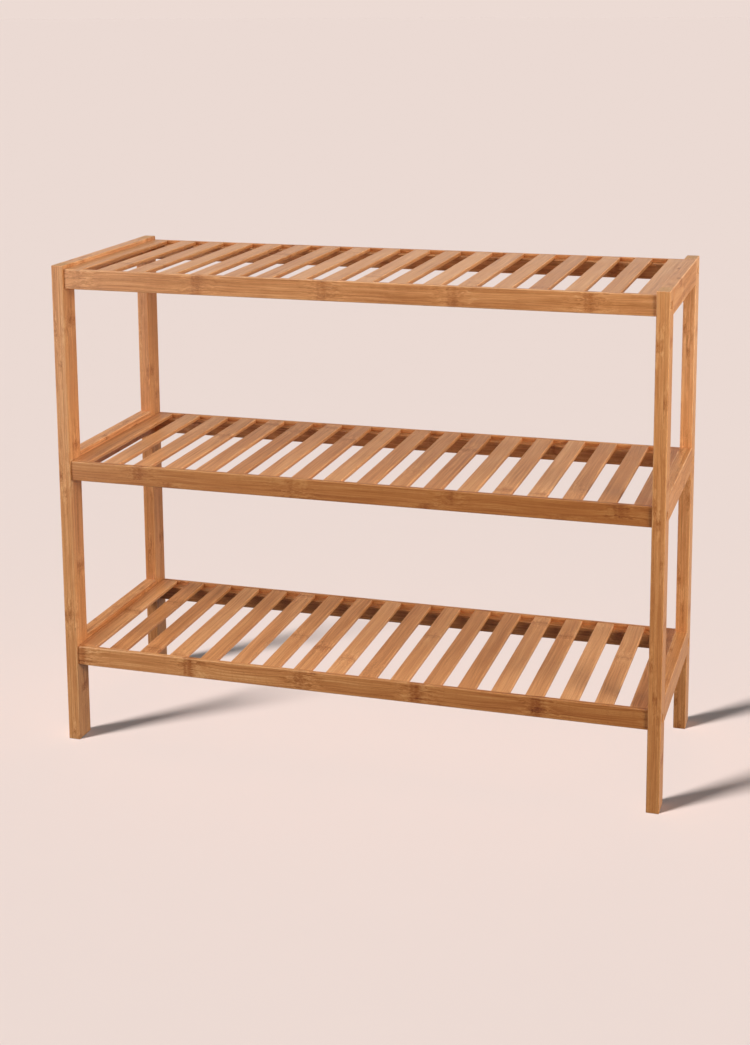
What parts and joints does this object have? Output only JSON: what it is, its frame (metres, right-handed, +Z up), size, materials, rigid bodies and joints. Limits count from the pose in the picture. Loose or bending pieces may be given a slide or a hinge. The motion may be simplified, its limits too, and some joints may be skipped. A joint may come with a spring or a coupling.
{
  "type": "entryway bench",
  "caption": "Slatted bamboo entryway bench with open shoe shelves below the seat, held between two slim side frames",
  "frame": {"origin": "on the floor, under the middle of the bench", "axes": "+X to the right along the bench's width as seen from its front, +Y to its back, +Z up"},
  "size_m": [0.7, 0.257, 0.57],
  "materials": {
    "bamboo_frame": "laminated bamboo, clear satin lacquer",
    "bamboo_rail": "laminated bamboo, clear satin lacquer",
    "bamboo_slat": "laminated bamboo, clear satin lacquer",
    "plated_steel": "nickel-plated, satin",
    "dowel_wood": "raw fluted beech, glued"
  },
  "bodies": {
    "root": {"left_front_leg": "bamboo_frame", "left_rear_leg": "bamboo_frame", "right_front_leg": "bamboo_frame", "right_rear_leg": "bamboo_frame", "left_top_side_rail": "bamboo_frame", "left_middle_side_rail": "bamboo_frame", "left_bottom_side_rail": "bamboo_frame", "right_top_side_rail": "bamboo_frame", "right_middle_side_rail": "bamboo_frame", "right_bottom_side_rail": "bamboo_frame", "top_front_rail": "bamboo_rail", "top_rear_rail": "bamboo_rail", "middle_front_rail": "bamboo_rail", "middle_rear_rail": "bamboo_rail", "bottom_front_rail": "bamboo_rail", "bottom_rear_rail": "bamboo_rail", "top_slats_01_02": "bamboo_slat", "top_slats_03_04": "bamboo_slat", "top_slats_05_06": "bamboo_slat", "top_slats_07_08": "bamboo_slat", "top_slats_09_10": "bamboo_slat", "top_slats_11_12": "bamboo_slat", "top_slats_13_14": "bamboo_slat", "top_slats_15_16": "bamboo_slat", "top_slats_17_18": "bamboo_slat", "middle_slats_01_02": "bamboo_slat", "middle_slats_03_04": "bamboo_slat", "middle_slats_05_06": "bamboo_slat", "middle_slats_07_08": "bamboo_slat", "middle_slats_09_10": "bamboo_slat", "middle_slats_11_12": "bamboo_slat", "middle_slats_13_14": "bamboo_slat", "middle_slats_15_16": "bamboo_slat", "middle_slats_17_18": "bamboo_slat", "bottom_slats_01_02": "bamboo_slat", "bottom_slats_03_04": "bamboo_slat", "bottom_slats_05_06": "bamboo_slat", "bottom_slats_07_08": "bamboo_slat", "bottom_slats_09_10": "bamboo_slat", "bottom_slats_11_12": "bamboo_slat", "bottom_slats_13_14": "bamboo_slat", "bottom_slats_15_16": "bamboo_slat", "bottom_slats_17_18": "bamboo_slat", "left_frame_screws": "plated_steel", "right_frame_screws": "plated_steel", "left_frame_dowels": "dowel_wood", "right_frame_dowels": "dowel_wood"}
  },
  "joints": []
}
